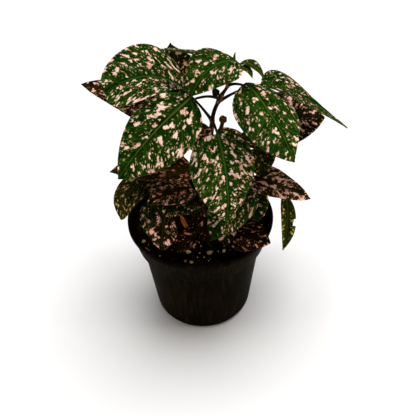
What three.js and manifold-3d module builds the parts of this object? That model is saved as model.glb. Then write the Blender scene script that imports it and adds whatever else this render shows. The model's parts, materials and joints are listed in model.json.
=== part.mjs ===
// A polka dot plant in a round plastic nursery pot, on its own as a set of named solids.
// Units are millimetres and +Z is up. The origin is the centre of the pot's underside.
import * as THREE from "three";
import { mergeVertices } from "three/addons/utils/BufferGeometryUtils.js";
import Module from "manifold-3d";

// ---- driving dimensions ---------------------------------------------------------------
const GAP = 0.3; // clearance between pieces that touch
const POT = {
  height: 87,
  rimRadius: 52.5,
  lipRadius: 51.3,
  lipHeight: 3.5,
  collarRadius: 47.4,
  collarHeight: 20,
  bodyRadius: 44,
  baseRadius: 36.9,
  footRadius: 34.5,
  footHeight: 4,
  wall: 1.3,
  floor: 2.2,
};
const DRAIN = { count: 5, radius: 4, circle: 23, sides: 12 };
const SOIL = { rimDepth: 12.5, mound: 3, edgeRadius: 47 };
const ROUND_SIDES = 40;
const LEAF_THICKNESS = 0.7;
const EDGE_HALF_WIDTH = 0.5; // where a blade starts and where it ends
const SMALL_LEAF_WIDTH = 20; // narrower blades have fewer faces

// Stems: [radius at the soil, radius at the top, points from below the soil surface to the tip].
const STEMS = {
  main_stem: [
    1.9,
    0.8,
    [[7, 6, 52], [8, 4, 95], [9, 2, 132], [10, 0, 166], [15, 0, 182], [20, 0, 191], [23, 0, 203]],
  ],
  right_stem: [1.6, 1.0, [[24, 2, 52], [27, 0, 88], [32, -4, 112], [36, -5, 126], [35, 1, 138]]],
  left_stem: [1.6, 1.1, [[-12, -2, 52], [-14, -6, 88], [-18, -9, 112], [-22, -10, 124]]],
  front_stem: [1.5, 1.0, [[4, -14, 52], [3, -17, 82], [2, -19, 104], [1, -20, 120]]],
  back_left_stem: [1.6, 1.0, [[-6, 18, 52], [-9, 18, 100], [-12, 15, 140], [-12, 13, 164]]],
  back_right_stem: [1.6, 1.0, [[18, 20, 52], [26, 20, 100], [37, 16, 138], [43, 12, 156]]],
};

// Leaves: [stem point, blade base, blade tip, width, bow, lean, roll, fold, curl, kind].
const LEAVES = {
  upper_left_leaf: [[10, 0, 166], [-7, 21.8, 175.6], [-54, -5.2, 190.6], 43, 13, 0.14, -18, 17, 4, "bright"],
  big_left_leaf: [[15, 0, 182], [-2, -18.5, 194.3], [-46, -46.5, 158.3], 42, 8, 0.04, -30, 2, -10, "bright"],
  front_leaf: [[10, 0, 166], [13, -18, 168], [17, -43, 118.5], 40, 9, 0.05, -9, 8, -7, "bright"],
  right_leaf: [[20, 0, 191], [31, -1, 193], [56.5, -44.5, 165], 38, 4.5, 0.06, -3, -4, -17, "bright"],
  far_right_leaf: [[14.5, 0, 180], [41, 9, 186.7], [98, 6.8, 153.6], 36, 4.5, -0.2, -8, 8, -4, "bright"],
  shaded_right_leaf: [[43, 12, 154], [40, 20, 155], [85, 15, 156], 38, 3, 0, 24, 0, -5, "dark"],
  top_leaf: [[22, 0, 199], [25, -5.5, 209.5], [-2, -21, 196.5], 32, 10, 0, -14, 8, -6, "bright"],
  back_tip_leaf: [[-12, 13, 163], [-8, 35.5, 165], [-15, 34, 203], 28, 3, 0, 90, 5, 0, "pale"],
  back_edge_leaf: [[21, 0, 196], [6, 4, 209], [-21, 4, 213.5], 22, 1, 0, 30, 3, 0, "bright"],
  shaded_left_leaf: [[-12, 14, 155], [-16, 10, 160], [-71, 12, 188], 38, 4, 0, -6, 5, 0, "dark"],
  low_front_leaf: [[35, -5, 121], [35, -15, 122], [8, -39, 99], 33, 5, 0.1, 0, 5, 0, "bright"],
  low_right_leaf: [[36, -5, 125], [37.5, -6, 123.5], [71.5, -30, 124], 27, 2, 0.03, 5, 8, 2, "dark"],
  drooping_leaf: [[34.5, -4.5, 118], [60, -9, 108], [57, -29, 77], 14, 5.5, 0, -16, 30, 0, "ageing"],
  low_left_leaf: [[9, 2, 130], [-3, -14, 136], [-56, -18, 141.5], 34, 4, 0, 0, 5, 0, "dark"],
  pink_left_leaf: [[1, -20, 118], [-4, -18, 126], [-33, -32, 125], 28, 3, 0, 0, 5, 0, "dark"],
  pale_left_leaf: [[1, -20, 110], [-3, -26, 121], [-23, -39, 121], 28, 4, 0, 0, 5, 0, "dark"],
  rim_left_leaf: [[-22, -10, 122], [-29, -7, 126.5], [-54.5, -19, 103.5], 27, 8, 0.1, 0, 5, 0, "ageing"],
  small_pink_leaf: [[-18, -9, 112], [-22, -28, 112], [-26, -38, 89], 21, 3, 0, 0, 5, 0, "dark"],
  edge_left_leaf: [[-18, -9, 108], [-33, -15, 114], [-32, -27, 88], 16, 2, 0, 0, 5, 0, "dark"],
  soil_left_leaf: [[2, -19, 100], [-1, -30, 96], [-18, -36, 85], 18, 2, 0, 0, 5, 0, "dark"],
  low_centre_leaf: [[2, -19, 112], [5, -24, 108], [5, -36, 93], 14, 2, 0, 0, 5, 0, "dark"],
  low_spotted_leaf: [[2, -19, 104], [17, -28, 101], [17, -38, 92], 14, 2, 0, 0, 5, 0, "dark"],
  rim_right_leaf: [[2, -19, 92], [23, -29, 92], [46.5, -39, 94], 27, 2, 0, 0, 5, 0, "dark"],
  inner_right_leaf: [[32, -4, 112], [34, -6, 110], [40, -20, 96], 23, 2, 0, 0, 5, 0, "dark"],
  olive_leaf: [[38, 15.3, 142], [28, 0, 154], [50, -10, 148], 22, 2, 0, 0, 5, 0, "dark"],
  low_olive_leaf: [[36, 16, 136], [38.6, 5, 139.6], [43, -8.6, 125.8], 24, 2, 0, 0, 5, 0, "dark"],
  behind_right_leaf: [[9.5, 1, 148], [13, 6, 147], [34, 12, 142], 21, 3, 0, 0, 5, 0, "dark"],
  behind_left_leaf: [[9.8, 0.3, 160], [8, 0, 161], [-14, -10, 149], 24, 3, 0, 0, 5, 0, "dark"],
  back_left_leaf: [[-12, 13, 160], [-18, 26, 162], [-40, 70, 144], 38, 6, 0.1, 0, 5, 0, "bright"],
  back_left_low_leaf: [[-9, 18, 104], [-16, 28, 116], [-42, 60, 98], 34, 5, 0.1, 0, 5, 0, "dark"],
  back_centre_leaf: [[8.5, 3, 114], [9, 24, 118], [14, 74, 100], 38, 6, 0.1, 0, 5, 0, "bright"],
  back_centre_low_leaf: [[22, 20, 88], [18, 36, 98], [10, 66, 82], 30, 5, 0.1, 0, 5, 0, "dark"],
  back_right_leaf: [[41, 13, 149], [51, 26, 148], [80, 56, 128], 36, 6, 0.1, 0, 5, 0, "bright"],
  back_right_low_leaf: [[26, 20, 100], [36, 30, 106], [48, 60, 86], 32, 5, 0.1, 0, 5, 0, "dark"],
  outer_bud_leaf: [[23, 0, 202], [28, 3, 204], [41, -4, 197], 8, 3, 0, 0, 20, 0, "bright"],
  inner_bud_leaf: [[22, 0, 197], [27, -1, 203], [34, -6, 199], 6, 2, 0, 0, 20, 0, "bright"],
  drop_bud_leaf: [[15.8, 0, 184.3], [13.7, 1, 183.8], [10.6, 0, 190], 5, 1, 0, -90, 0, -20, "dark"],
};

// A leaf stalk joins the midrib a little way in from the blade's base. Its bend lies between the
// base and the stem, raised by a share of its length.
const PETIOLE = { radius: 0.9, endRadius: 0.6, entry: 0.12, bend: 0.35, rise: 0.12 };

// Outlines of the leaves that aren't even: [width factor, base fullness, tip fullness] of the
// right half and of the left half, seen from above from base to tip.
const OUTLINES = {
  upper_left_leaf: [[1.05, 0.2, 0.42], [1.22, 1.15, 0.45]],
  big_left_leaf: [[0.85, 0.6, 1], [1.03, 0.47, 0.86]],
  front_leaf: [[1.12, 0.47, 1], [0.93, 0.47, 1.15]],
  right_leaf: [[1.09, 0.54, 0.8], [1.1, 0.7, 1.15]],
  far_right_leaf: [[0.97, 0.51, 0.45], [1.2, 0.8, 2.2]],
  top_leaf: [[0.9, 0.5, 0.5], [1.07, 0.64, 1]],
  low_right_leaf: [[1.08, 0.4, 0.73], [0.92, 0.16, 0.88]],
  drooping_leaf: [[0.91, 0.25, 0.87], [0.87, 0.7, 1]],
  shaded_right_leaf: [[1.25, 0.5, 0.8], [1, 0.5, 0.9]],
  back_tip_leaf: [[1.05, 0.4, 1], [1.35, 0.4, 1.3]],
  rim_right_leaf: [[1.18, 0.5, 0.8], [1, 0.5, 0.9]],
  rim_left_leaf: [[1, 0.5, 0.6], [1.1, 0.5, 0.55]],
  low_olive_leaf: [[1, 0.35, 0.9], [1, 0.35, 0.9]],
};
const EVEN_OUTLINE = [[1, 0.5, 0.9], [1, 0.5, 0.9]];

// The growing tip above the main stem, and a young leaf still rolled up on its stalk.
const TIP_BUD = { radius: 0.9, points: [[23.2, 0, 203.5], [23.6, 0, 208], [24.2, 0, 212.5]] };
const ROLLED_LEAF = {
  radius: 2.5,
  centre: [17, 1, 165.9],
  stalkRadius: 1.2,
  stalk: [[9.5, 1, 151], [13, 0, 154], [15.5, 0.5, 160], [17, 1, 165]],
};

// Perlite grains in the soil surface: [x, y, radius].
const GRAINS = [
  [6, -29, 2],
  [-9, -28, 1.6],
  [-7, -37, 1.4],
  [-11, -36, 1.3],
  [16, -28, 1.3],
  [-41, -15, 1.5],
  [12, 38, 1.8],
  [-24, 34, 1.5],
];
const GRAIN_SINK = 0.5; // how far a grain's centre lies above the soil surface

// The colour of each kind of leaf.
const LEAF_COLOURS = { bright: 0x2c5a1c, dark: 0x33301a, ageing: 0x5c5a1e, pale: 0x6d7a5c };

// ---- solids ---------------------------------------------------------------------------
const wasm = await Module();
wasm.setup();

function toSolid(geometry) {
  const bare = geometry.clone();
  bare.deleteAttribute("normal");
  bare.deleteAttribute("uv");
  const merged = mergeVertices(bare, 1e-3);
  const vertProperties = new Float32Array(merged.attributes.position.array);
  const triVerts = new Uint32Array(merged.index.array);
  return new wasm.Manifold(new wasm.Mesh({ numProp: 3, vertProperties, triVerts }));
}

function toGeometry(solid) {
  const mesh = solid.getMesh();
  const geometry = new THREE.BufferGeometry();
  geometry.setAttribute("position", new THREE.BufferAttribute(mesh.vertProperties, 3));
  geometry.setIndex(new THREE.BufferAttribute(mesh.triVerts, 1));
  return geometry;
}

const vector = (point) => new THREE.Vector3(...point);
const degrees = (angle) => THREE.MathUtils.degToRad(angle);

// A round tube along a curve, which narrows evenly from its first radius to its last.
function tube(curve, firstRadius, lastRadius, sides, steps) {
  const section = new THREE.Shape();
  section.setFromPoints(
    Array.from({ length: sides }, (_, i) => {
      const angle = (2 * Math.PI * i) / sides;
      return new THREE.Vector2(Math.cos(angle), Math.sin(angle));
    }),
  );
  const geometry = new THREE.ExtrudeGeometry(section, { steps, extrudePath: curve, bevelEnabled: false });
  const centres = curve.getSpacedPoints(steps);
  const positions = geometry.attributes.position;
  const point = new THREE.Vector3();
  for (let i = 0; i < positions.count; i += 1) {
    point.fromBufferAttribute(positions, i);
    const distances = centres.map((centre) => Math.abs(centre.distanceTo(point) - 1));
    const ring = distances.indexOf(Math.min(...distances));
    const radius = THREE.MathUtils.lerp(firstRadius, lastRadius, ring / steps);
    point.sub(centres[ring]).setLength(radius).add(centres[ring]);
    positions.setXYZ(i, point.x, point.y, point.z);
  }
  return geometry;
}

function stemGeometry([firstRadius, lastRadius, points], extra = 0) {
  const curve = new THREE.CatmullRomCurve3(points.map(vector));
  const steps = 2 * points.length;
  return tube(curve, firstRadius + extra, lastRadius + extra, 8, steps);
}

// ---- leaves ---------------------------------------------------------------------------
// A blade is a flat sheet bent over its midrib. The midrib is a curve from base to tip that
// bows upwards, and each half of the blade rises by the fold and turns by the curl.
function bladeFrame(base, tip, bow, lean, roll) {
  const chord = tip.clone().sub(base).normalize();
  const level = new THREE.Vector3(chord.y, -chord.x, 0).normalize();
  const upright = level.clone().cross(chord);
  const side = level.clone().multiplyScalar(Math.cos(roll)).addScaledVector(upright, -Math.sin(roll));
  const normal = upright.clone().multiplyScalar(Math.cos(roll)).addScaledVector(level, Math.sin(roll));
  const crest = base.clone().lerp(tip, 0.5 + lean).addScaledVector(normal, 2 * bow);
  return { midrib: new THREE.QuadraticBezierCurve3(base, crest, tip), side };
}

function halfWidth(width, along, [factor, baseFullness, tipFullness]) {
  const peak = baseFullness / (baseFullness + tipFullness);
  const outline = (t) => t ** baseFullness * (1 - t) ** tipFullness;
  return Math.max((width / 2) * factor * (outline(along) / outline(peak)), EDGE_HALF_WIDTH);
}

function bladeGeometry(base, tip, width, bow, lean, roll, fold, curl, outline) {
  const [lengthSteps, widthSteps] = width > SMALL_LEAF_WIDTH ? [6, 4] : [4, 2];
  const geometry = new THREE.BoxGeometry(1, 2, 1, lengthSteps, widthSteps, 1);
  const { midrib, side } = bladeFrame(base, tip, bow, lean, degrees(roll));
  const positions = geometry.attributes.position;
  for (let i = 0; i < positions.count; i += 1) {
    const along = (1 - Math.cos(Math.PI * (positions.getX(i) + 0.5))) / 2;
    const across = -positions.getY(i);
    const reach = Math.abs(across);
    const normal = side.clone().cross(midrib.getTangent(along));
    const turn = degrees(fold + (curl * reach) / 2);
    const half = halfWidth(width, along, outline[across > 0 ? 0 : 1]);
    const spread = half * across * Math.cos(turn);
    const rise = half * reach * Math.sin(turn) + positions.getZ(i) * LEAF_THICKNESS;
    const point = midrib.getPoint(along).addScaledVector(side, spread).addScaledVector(normal, rise);
    positions.setXYZ(i, point.x, point.y, point.z);
  }
  return { geometry, midrib };
}

function leafSolid([joint, base, tip, ...shape], outline) {
  const [width, bow, lean, roll, fold, curl] = shape;
  const ends = [vector(base), vector(tip)];
  const { geometry, midrib } = bladeGeometry(...ends, width, bow, lean, roll, fold, curl, outline);
  const entry = midrib.getPoint(PETIOLE.entry);
  const bend = midrib.getPoint(0).lerp(vector(joint), PETIOLE.bend);
  bend.z += PETIOLE.rise * vector(joint).distanceTo(entry);
  const petiole = new THREE.QuadraticBezierCurve3(vector(joint), bend, entry);
  return toSolid(geometry).add(toSolid(tube(petiole, PETIOLE.radius, PETIOLE.endRadius, 5, 4)));
}

// ---- pot and soil ---------------------------------------------------------------------
function lathe(profile) {
  const outline = profile.map(([radius, height]) => new THREE.Vector2(radius, height));
  return new THREE.LatheGeometry(outline, ROUND_SIDES).rotateX(Math.PI / 2);
}

function potSolid() {
  const { height, rimRadius, lipRadius, lipHeight, collarRadius, bodyRadius, baseRadius, wall } = POT;
  const stepHeight = height - POT.collarHeight;
  const lipBottom = height - lipHeight;
  const profile = [
    [0, 0],
    [POT.footRadius, 0],
    [baseRadius, POT.footHeight],
    [bodyRadius, stepHeight],
    [collarRadius, stepHeight],
    [lipRadius, lipBottom],
    [rimRadius, lipBottom + 0.6],
    [rimRadius, height - 0.8],
    [rimRadius - 0.8, height],
    [lipRadius - wall, height],
    [lipRadius - wall, lipBottom],
    [collarRadius - wall, stepHeight + wall],
    [bodyRadius - wall, stepHeight + wall],
    [baseRadius - wall, POT.footHeight],
    [POT.footRadius - wall, POT.floor],
    [0, POT.floor],
  ];
  let solid = toSolid(lathe(profile));
  for (let i = 0; i < DRAIN.count; i += 1) {
    const angle = (2 * Math.PI * i) / DRAIN.count;
    const hole = new THREE.CylinderGeometry(DRAIN.radius, DRAIN.radius, 4 * POT.floor, DRAIN.sides);
    hole.rotateX(Math.PI / 2).translate(DRAIN.circle * Math.cos(angle), DRAIN.circle * Math.sin(angle), 0);
    solid = solid.subtract(toSolid(hole));
  }
  return solid;
}

function soilHeight(radius) {
  const edge = SOIL.edgeRadius;
  return POT.height - SOIL.rimDepth + SOIL.mound * Math.cos((Math.PI / 2) * Math.min(radius / edge, 1));
}

function soilSolid(cutters) {
  const { height, collarRadius, bodyRadius, baseRadius, footRadius, wall } = POT;
  const stepHeight = height - POT.collarHeight;
  const inset = wall + GAP;
  const profile = [
    [0, POT.floor + GAP],
    [footRadius - wall - 1, POT.floor + GAP],
    [baseRadius - inset, POT.footHeight + 1],
    [bodyRadius - inset, stepHeight + inset],
    [collarRadius - inset, stepHeight + inset],
    [SOIL.edgeRadius, soilHeight(SOIL.edgeRadius)],
    [0.66 * SOIL.edgeRadius, soilHeight(0.66 * SOIL.edgeRadius)],
    [0.33 * SOIL.edgeRadius, soilHeight(0.33 * SOIL.edgeRadius)],
    [0, soilHeight(0)],
  ];
  return cutters.reduce((solid, cutter) => solid.subtract(toSolid(cutter)), toSolid(lathe(profile)));
}

// A grain is an uneven lump, half sunk in the soil.
function grainGeometry([x, y, radius], extra = 0) {
  const lump = new THREE.IcosahedronGeometry(radius + extra, 0);
  lump.scale(1.15, 0.95, 0.85).rotateZ(x + y);
  return lump.translate(x, y, soilHeight(Math.hypot(x, y)) + GRAIN_SINK);
}

function rolledLeafSolid({ radius, centre, stalk, stalkRadius }) {
  const ball = new THREE.IcosahedronGeometry(radius, 1).translate(...centre);
  const curve = new THREE.CatmullRomCurve3(stalk.map(vector));
  return toSolid(ball).add(toSolid(tube(curve, stalkRadius, stalkRadius, 6, 5)));
}

// ---- assembly -------------------------------------------------------------------------
const plant = new THREE.Group();

function addPiece(name, geometry, color, roughness) {
  const material = new THREE.MeshStandardMaterial({ color, roughness, metalness: 0 });
  const mesh = new THREE.Mesh(geometry, material);
  mesh.name = name;
  plant.add(mesh);
}

const stems = Object.values(STEMS);
const stemHoles = stems.map((stem) => stemGeometry(stem, GAP));

// A piece that grows from the stems ends just short of their bark.
function clearOfStems(solid) {
  return stemHoles.reduce((rest, hole) => rest.subtract(toSolid(hole)), solid);
}

const grainHoles = GRAINS.map((grain) => grainGeometry(grain, GAP));
addPiece("pot", toGeometry(potSolid()), 0x14110e, 0.45);
addPiece("soil", toGeometry(soilSolid([...stemHoles, ...grainHoles])), 0x1d140d, 1);
GRAINS.forEach((grain, i) => addPiece(`perlite_grain_${i + 1}`, grainGeometry(grain), 0xd8c69c, 0.9));
for (const [name, stem] of Object.entries(STEMS)) {
  addPiece(name, stemGeometry(stem), 0x2a1a10, 0.6);
}
for (const [name, leaf] of Object.entries(LEAVES)) {
  const solid = leafSolid(leaf, OUTLINES[name] ?? EVEN_OUTLINE);
  addPiece(name, toGeometry(clearOfStems(solid)), LEAF_COLOURS[leaf.at(-1)], 0.6);
}
const tipCurve = new THREE.CatmullRomCurve3(TIP_BUD.points.map(vector));
addPiece("tip_bud", tube(tipCurve, TIP_BUD.radius, 0.3, 6, 4), LEAF_COLOURS.bright, 0.6);
addPiece("rolled_leaf", toGeometry(clearOfStems(rolledLeafSolid(ROLLED_LEAF))), LEAF_COLOURS.dark, 0.6);

export default plant;
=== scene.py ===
"""A polka dot plant in a black nursery pot: the finish of every surface, the light and the camera."""
import json
import math
import random

import bmesh
import bpy
from mathutils import Color, Matrix, Vector, noise


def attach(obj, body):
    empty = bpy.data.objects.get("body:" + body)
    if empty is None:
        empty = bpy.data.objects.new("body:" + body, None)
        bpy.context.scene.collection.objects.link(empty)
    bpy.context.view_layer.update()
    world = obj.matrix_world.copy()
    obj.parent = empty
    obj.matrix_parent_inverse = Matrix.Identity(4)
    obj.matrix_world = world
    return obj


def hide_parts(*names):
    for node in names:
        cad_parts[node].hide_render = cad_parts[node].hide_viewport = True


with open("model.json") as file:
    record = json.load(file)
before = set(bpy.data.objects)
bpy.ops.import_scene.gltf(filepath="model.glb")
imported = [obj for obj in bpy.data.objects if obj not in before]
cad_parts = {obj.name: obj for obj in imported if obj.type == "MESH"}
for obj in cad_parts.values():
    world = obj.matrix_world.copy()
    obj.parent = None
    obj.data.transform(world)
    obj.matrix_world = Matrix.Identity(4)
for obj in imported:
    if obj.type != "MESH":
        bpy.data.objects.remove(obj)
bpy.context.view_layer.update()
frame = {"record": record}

SLOTS = {part["node"]: part["material_slot"] for part in frame["record"]["subparts"]}
MM = 0.001  # shapes are worked out in millimetres and written to the meshes in metres

# ---- the plant's dimensions, in millimetres -------------------------------------------
# The pot's wall from the axis on its underside, up the outside and down the inside: radius, height, rounding.
POT_OUTLINE = (
    (0, 0.8, 0), (29, 0.8, 0.5), (30.5, 0, 0.5), (34.5, 0, 0.7), (36.9, 4, 1.5), (44, 67, 0.8),
    (47.2, 67, 0.8), (51.2, 83.5, 0.3), (52.5, 84.1, 0.4), (52.5, 87, 0.7), (50, 87, 0.7), (50, 83.5, 0.6),
    (46.1, 68.3, 0.8), (42.7, 68.3, 0.8), (35.6, 4, 1.5), (33.2, 2.2, 0.8), (0, 2.2, 0),
)
POT_SIDES = 180
DRAIN_HOLES = 5
DRAIN_CIRCLE = 23
DRAIN_RADIUS = 4
DRAIN_DEPTH = 8

SOIL_BODY = ((0, 2.6), (32, 2.6), (35.2, 5), (42.2, 68.8), (45.6, 68.8))  # radius, height, up to the surface
SOIL_EDGE_RADIUS = 47
SOIL_EDGE_HEIGHT = 74.5
SOIL_MOUND = 3
SOIL_SIDES = 200
SOIL_RINGS = 70
SOIL_ROUGH_FROM = 70  # the height above which the soil is crumbly

# Stems: radius at the soil, radius at the top, points from below the soil surface to the tip.
STEMS = {
    "main_stem": (1.9, 0.8, ((7, 6, 52), (8, 4, 95), (9, 2, 132), (10, 0, 166), (15, 0, 182), (20, 0, 191),
                             (23, 0, 203))),
    "right_stem": (1.6, 1.0, ((24, 2, 52), (27, 0, 88), (32, -4, 112), (36, -5, 126), (35, 1, 138))),
    "left_stem": (1.6, 1.1, ((-12, -2, 52), (-14, -6, 88), (-18, -9, 112), (-22, -10, 124))),
    "front_stem": (1.5, 1.0, ((4, -14, 52), (3, -17, 82), (2, -19, 104), (1, -20, 120))),
    "back_left_stem": (1.6, 1.0, ((-6, 18, 52), (-9, 18, 100), (-12, 15, 140), (-12, 13, 164))),
    "back_right_stem": (1.6, 1.0, ((18, 20, 52), (26, 20, 100), (37, 16, 138), (43, 12, 156))),
}

# Leaves: joint on the stem, blade base, blade tip, width, bow, lean, roll, fold, curl, look.
LEAVES = {
    "upper_left_leaf": ((10, 0, 166), (-7, 21.8, 175.6), (-54, -5.2, 190.6), 43, 13, 0.14, -18, 17, 4, "sunlit"),
    "big_left_leaf": ((15, 0, 182), (-2, -18.5, 194.3), (-46, -46.5, 158.3), 42, 8, 0.04, -30, 2, -10, "splashed"),
    "front_leaf": ((10, 0, 166), (13, -18, 168), (17, -43, 118.5), 40, 9, 0.05, -9, 8, -7, "front"),
    "right_leaf": ((20, 0, 191), (31, -1, 193), (56.5, -44.5, 165), 38, 4.5, 0.06, -3, -4, -17, "fresh"),
    "far_right_leaf": ((14.5, 0, 180), (41, 9, 186.7), (98, 6.8, 153.6), 36, 4.5, -0.2, -8, 8, -4, "outer"),
    "shaded_right_leaf": ((43, 12, 154), (40, 20, 155), (85, 15, 156), 38, 3, 0, 24, 0, -5, "pink"),
    "top_leaf": ((22, 0, 199), (25, -5.5, 209.5), (-2, -21, 196.5), 32, 10, 0, -14, 8, -6, "speckled"),
    "back_tip_leaf": ((-12, 13, 163), (-8, 35.5, 165), (-15, 34, 203), 28, 3, 0, 90, 5, 0, "pale"),
    "back_edge_leaf": ((21, 0, 196), (6, 4, 209), (-21, 4, 213.5), 22, 1, 0, 30, 3, 0, "speckled"),
    "shaded_left_leaf": ((-12, 14, 155), (-16, 10, 160), (-71, 12, 188), 38, 4, 0, -6, 5, 0, "brown"),
    "low_front_leaf": ((35, -5, 121), (35, -15, 122), (8, -39, 99), 33, 5, 0.1, 0, 5, 0, "low_green"),
    "low_right_leaf": ((36, -5, 125), (37.5, -6, 123.5), (71.5, -30, 124), 27, 2, 0.03, 5, 8, 2, "mottled"),
    "drooping_leaf": ((34.5, -4.5, 118), (60, -9, 108), (57, -29, 77), 14, 5.5, 0, -16, 30, 0, "ageing"),
    "low_left_leaf": ((9, 2, 130), (-3, -14, 136), (-56, -18, 141.5), 34, 4, 0, 0, 5, 0, "streaked"),
    # The pink left leaf wears the pink look lightened as painted light, because it lies in shade.
    "pink_left_leaf": ((1, -20, 118), (-4, -18, 126), (-33, -32, 125), 28, 3, 0, 0, 5, 0, "pink_with_painted_light"),
    "pale_left_leaf": ((1, -20, 110), (-3, -26, 121), (-23, -39, 121), 28, 4, 0, 0, 5, 0, "dim_green"),
    "rim_left_leaf": ((-22, -10, 122), (-29, -7, 126.5), (-54.5, -19, 103.5), 27, 8, 0.1, 0, 5, 0, "olive"),
    "small_pink_leaf": ((-18, -9, 112), (-22, -28, 112), (-26, -38, 89), 21, 3, 0, 0, 5, 0, "pink"),
    "edge_left_leaf": ((-18, -9, 108), (-33, -15, 114), (-32, -27, 88), 16, 2, 0, 0, 5, 0, "dim_green"),
    "soil_left_leaf": ((2, -19, 100), (-1, -30, 96), (-18, -36, 85), 18, 2, 0, 0, 5, 0, "rose"),
    "low_centre_leaf": ((2, -19, 112), (5, -24, 108), (5, -36, 93), 14, 2, 0, 0, 5, 0, "rose"),
    "low_spotted_leaf": ((2, -19, 104), (17, -28, 101), (17, -38, 92), 14, 2, 0, 0, 5, 0, "pink"),
    "rim_right_leaf": ((2, -19, 92), (23, -29, 92), (46.5, -39, 94), 27, 2, 0, 0, 5, 0, "rose"),
    "inner_right_leaf": ((32, -4, 112), (34, -6, 110), (40, -20, 96), 23, 2, 0, 0, 5, 0, "dim_green"),
    "olive_leaf": ((38, 15.3, 142), (28, 0, 154), (50, -10, 148), 22, 2, 0, 0, 5, 0, "olive"),
    "low_olive_leaf": ((36, 16, 136), (38.6, 5, 139.6), (43, -8.6, 125.8), 24, 2, 0, 0, 5, 0, "olive"),
    "behind_right_leaf": ((9.5, 1, 148), (13, 6, 147), (34, 12, 142), 21, 3, 0, 0, 5, 0, "olive"),
    "behind_left_leaf": ((9.8, 0.3, 160), (8, 0, 161), (-14, -10, 149), 24, 3, 0, 0, 5, 0, "brown"),
    "back_left_leaf": ((-12, 13, 160), (-18, 26, 162), (-40, 70, 144), 38, 6, 0.1, 0, 5, 0, "sunlit"),
    "back_left_low_leaf": ((-9, 18, 104), (-16, 28, 116), (-42, 60, 98), 34, 5, 0.1, 0, 5, 0, "brown"),
    "back_centre_leaf": ((8.5, 3, 114), (9, 24, 118), (14, 74, 100), 38, 6, 0.1, 0, 5, 0, "front"),
    "back_centre_low_leaf": ((22, 20, 88), (18, 36, 98), (10, 66, 82), 30, 5, 0.1, 0, 5, 0, "dim_green"),
    "back_right_leaf": ((41, 13, 149), (51, 26, 148), (80, 56, 128), 36, 6, 0.1, 0, 5, 0, "splashed"),
    "back_right_low_leaf": ((26, 20, 100), (36, 30, 106), (48, 60, 86), 32, 5, 0.1, 0, 5, 0, "pink"),
    "outer_bud_leaf": ((23, 0, 202), (28, 3, 204), (41, -4, 197), 8, 3, 0, 0, 20, 0, "bud"),
    "inner_bud_leaf": ((22, 0, 197), (27, -1, 203), (34, -6, 199), 6, 2, 0, 0, 20, 0, "bud"),
    "drop_bud_leaf": ((15.8, 0, 184.3), (13.7, 1, 183.8), (10.6, 0, 190), 5, 1, 0, -90, 0, -20, "olive"),
}

# Outlines of the leaves that aren't even: width factor, base fullness and tip fullness of the right half and of
# the left half, seen from above from base to tip.
OUTLINES = {
    "upper_left_leaf": ((1.05, 0.2, 0.42), (1.22, 1.15, 0.45)),
    "big_left_leaf": ((0.85, 0.6, 1), (1.03, 0.47, 0.86)),
    "front_leaf": ((1.12, 0.47, 1), (0.93, 0.47, 1.15)),
    "right_leaf": ((1.09, 0.54, 0.8), (1.1, 0.7, 1.15)),
    "far_right_leaf": ((0.97, 0.51, 0.45), (1.2, 0.8, 2.2)),
    "top_leaf": ((0.9, 0.5, 0.5), (1.07, 0.64, 1)),
    "low_right_leaf": ((1.08, 0.4, 0.73), (0.92, 0.16, 0.88)),
    "drooping_leaf": ((0.91, 0.25, 0.87), (0.87, 0.7, 1)),
    "shaded_right_leaf": ((1.25, 0.5, 0.8), (1, 0.5, 0.9)),
    "back_tip_leaf": ((1.05, 0.4, 1), (1.35, 0.4, 1.3)),
    "rim_right_leaf": ((1.18, 0.5, 0.8), (1, 0.5, 0.9)),
    "rim_left_leaf": ((1, 0.5, 0.6), (1.1, 0.5, 0.55)),
    "low_olive_leaf": ((1, 0.35, 0.9), (1, 0.35, 0.9)),
}
EVEN_OUTLINE = ((1, 0.5, 0.9), (1, 0.5, 0.9))
EDGE_HALF_WIDTH = 0.5
BLADE_THICKNESS = 0.45
LARGE_LEAF_WIDTH = 25
LARGE_LEAF_STEPS = (96, 44)  # along and across
SMALL_LEAF_STEPS = (52, 26)
VEIN_PAIRS = 7
VEIN_SLANT = 0.6  # millimetres towards the tip for each one out from the midrib
VEIN_CURVE = 0.6  # how strongly they bend towards the tip on the way out
VEIN_STAGGER = 0.3  # how far the veins of one half lie ahead of the other's, in vein spacings
VEIN_WANDER = 0.35  # how far they stray from even spacing, in vein spacings
QUILTING = 0.5  # how far the blade swells between two side veins
MARGIN_WAVE = 0.5

STALK_RADIUS = 0.9
STALK_TAPER = 0.03  # from one of its steps to the next
STALK_FLARE = 0.5  # how much thicker a stalk is where it leaves the stem
STALK_BEND = 0.35  # where a stalk bends, as a share of the way from the blade's base to the joint
STALK_RISE = 0.12  # how far it arches up, as a share of its length
STALK_STEPS = 10
MIDRIB_START, MIDRIB_END = 0.12, 0.9  # shares of the blade's length
MIDRIB_RADIUS, MIDRIB_TIP_RADIUS = 0.6, 0.2
MIDRIB_SINK = 0.3  # how far its middle lies below the blade's
MIDRIB_STEPS = 12

JOINT_SWELL = 0.45  # how much a stem thickens where a leaf joins it, and over what length
JOINT_LENGTH = 1.5

# Places where a blade is torn or eaten: along, across, radius in millimetres.
BITES = {
    "drooping_leaf": ((0.42, -1.0, 1.8), (0.47, -0.8, 1.2)),
    "low_front_leaf": ((0.55, 0.35, 1.7), (0.6, 0.5, 1.2)),
}

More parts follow.
